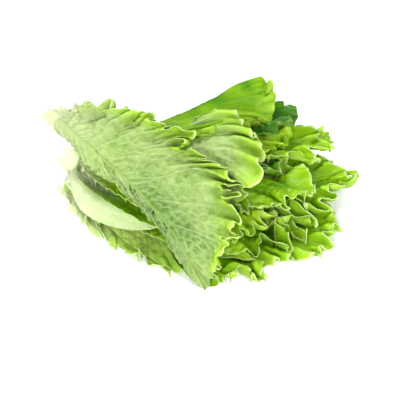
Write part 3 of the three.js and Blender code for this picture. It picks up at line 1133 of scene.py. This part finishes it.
# The raised top leaf: an even, vivid green.
VIVID = LeafFinish(name="leaf_vivid_blade", inner_deep="#4a8800", inner_light="#8ab80c", glow="#98bc00",
                   margin="#a4cc30")
# A low leaf that is light green up to its middle and full green at its tip.
HALF = LeafFinish(name="leaf_half_bleached_blade", base_pale="#c2dc70", bleach_from=0.42, bleach_to=0.80)
# The ragged left leaf: washed out almost to white at the stem.
PALE = LeafFinish(name="leaf_pale_blade", outer_green="#96b258", outer_pale="#b0c480", vein="#ccd8a8",
                  glow="#bcd080", base_pale="#ccd6ac", bleach_from=0.1, bleach_to=1.1)
UP = Facing.OUTSIDE_UP

LEAVES = [
    Leaf("leaf_01_under_back", ((-116, 60, 2), (-68, 69, 2), (-18, 47, 2), (28, 29, 2)), near=50, far=45,
         seed=1, step=1.3, columns=30),
    Leaf("leaf_02_under_front", ((-118, 54, 4), (-80, 15, 4), (-42, -25, 4), (-7, -61, 2)), near=24, far=42,
         curl_near=-10, vein_depth=0.4, pucker=0.7, swell=2.0, seed=2, finish=SOFT_LIT),
    Leaf("leaf_03_low_front", ((-116, 56, 7), (-57, 15, 6), (-4, -34, 5), (54, -59, 2)), near=33, far=46,
         near_from=0.5, ruffle_near=1.2, placed=(-0.7, -14.3, -0.5), vein_depth=0.45, pucker=0.8, swell=2.0,
         seed=3, finish=HALF),
    Leaf("leaf_04_low_right", ((-116, 56, 9), (-44, 32, 9), (35, 5, 7), (117, -6, 5)), near=56, far=46,
         widest=0.66, near_from=0.5, placed=(-0.7, -14.3, -0.3), seed=4),
    Leaf("leaf_05_curled_front", ((-108, 40, 19), (-95, 11, 19), (-66, -10, 18), (-30, -16, 14)),
         near=18, far=24, base=8, fold_near=(-66, -66), fold_far=(15, 30), fold_radius=7, facing=UP,
         ruffle_near=0.0, placed=(-1.0, -14.5, 6.5), hem=8.0, hem_turn=(55, 60),
         waves=(Wave(24.0, 0.6, 0.2, 0.6), Wave(12.0, 1.4, 0.5, 0.45), Wave(5.0, 0.9, 0.76, 0.24)),
         pucker=0.6, swell=2.2, rib=1.6, vein_depth=0.8, seed=5, slot="leaf_outer_pale", finish=FOLDED_LIT),
    Leaf("leaf_06_mid_front", ((-100, 43, 27), (-42, 1, 37), (19, -10, 16), (77, -32, 12)), near=40, far=42,
         base=8, curl_near=-10, near_from=0.6, placed=(-0.7, -14.3, 0.5), seed=6),
    Leaf("leaf_07_mid_right", ((-98, 52, 31), (-30, 20, 39), (48, 25, 20), (128, 17, 24)), near=42, far=44,
         base=8, curl_near=-10, curl_far=10, seed=7),
    Leaf("leaf_08_bright_front", ((-97, 44, 35), (-47, 6, 44), (4, -16, 33), (51, -39, 25)), near=36, far=36,
         base=8, near_from=0.5, seed=8, finish=YELLOW_LIT),
    Leaf("leaf_09_middle", ((-95, 52, 38), (-34, 22, 51), (30, 13, 42), (95, -1, 33)), near=38, far=36,
         base=8, curl_near=-20, seed=9),
    Leaf("leaf_10_inner_dark", ((-97, 58, 42), (-43, 31, 54), (13, 24, 53), (69, 26, 42)), near=34, far=36,
         base=8, near_from=0.6, seed=10, finish=SHADED),
    Leaf("leaf_11_upper_right", ((-95, 61, 46), (-34, 25, 59), (34, 34, 56), (115, 43, 48)), near=22, far=36,
         base=8, curl_near=-10, near_from=0.55, placed=(-0.7, -14.3, 1.6), seed=11),
    Leaf("leaf_12_yellow_edge", ((-97, 63, 49), (-42, 26, 64), (19, 32, 66), (78, 55, 60)), near=28, far=22,
         base=8, curl_near=-20, near_from=0.62, ruffle_near=0.8, seed=12, finish=YELLOW_LIT),
    Leaf("leaf_13_back_dark", ((-97, 65, 51), (-42, 29, 67), (21, 46, 71), (85, 68, 66)), near=36, far=24,
         base=8, roll=10, near_from=0.55, far_from=0.45, ruffle_near=0.6, ruffle_far=0.8, seed=13,
         finish=SHADED),
    Leaf("leaf_14_light_middle", ((-116, 52, 62), (-50, 4, 75), (-6, -13, 78), (25, -40, 60)),
         near=12, far=46, base=8, widest=0.80, curl_near=-20, fold_far=(0, 52), curl_far=-15, facing=UP,
         ruffle_near=0.2, placed=(-0.7, -18.5, 4.0), seed=14, slot="leaf_outer_pale", finish=OUTER),
    Leaf("leaf_15_top_back", ((-116, 66, 68), (-50, 12, 86), (4, 40, 90), (57, 79, 92)), near=37, far=5,
         base=8, roll=-24, fold_far=(-60, -60), fold_radius=6, widest=0.84, pucker=0.4, vein_depth=0.4,
         swell=4.5, swell_size=24.0, hem_turn=(10, 60), notch=(21.0, 13.0, 3.6), covers=0.1,
         placed=(-0.7, -14.3, 1.0), ruffle_near=0.9, ruffle_far=0.0, lift=0, seed=15, finish=VIVID),
    Leaf("leaf_16_ragged_left", ((-128, 54, 73), (-96, 17, 80), (-70, 12, 86), (-40, 9, 90)), near=6, far=28,
         base=9, widest=0.5, facing=UP, far_from=-0.12, ruffle_near=0.0, hem_turn=(0, 45), lift=0,
         waves=(Wave(24.0, 0.5, 0.3, 0.6), Wave(10.0, 1.1, 0.5, 0.4), Wave(4.5, 1.1, 0.75, 0.2)),
         placed=(-0.7, -14.3, 4.7), seed=16, slot="leaf_outer_pale", finish=PALE),
    Leaf("leaf_17_front_outer", ((-118, 32, 79), (-71, -26, 77), (-31, -52, 45), (3, -83, -4)),
         near=7, far=60, base=11, widest=0.66, fold_near=(-70, -70), fold_far=(30, 45), fold_radius=6,
         facing=UP, vein_depth=0.6, swell=4.3, swell_size=15.0, pucker=1.9, pucker_size=6.5, netted_shadow=True,
         ruffle_near=0.0, far_from=-0.04, placed=(-1.0, -14.4, 4.4), hem=14.0, hem_turn=(85, 95),
         waves=(Wave(36.0, 0.6, 0.2, 0.65), Wave(14.0, 2.0, 0.56, 0.40), Wave(6.0, 1.1, 0.80, 0.20)),
         seed=17, slot="leaf_outer_pale", finish=OUTER),
]


def main() -> None:
    """Builds the head and the studio, and logs each piece's face count."""
    logging.basicConfig(level=logging.INFO, format="%(name)s: %(message)s")
    LettuceHead(LEAVES, Stem()).build()
    Studio().build()


if __name__ == "__main__":
    main()
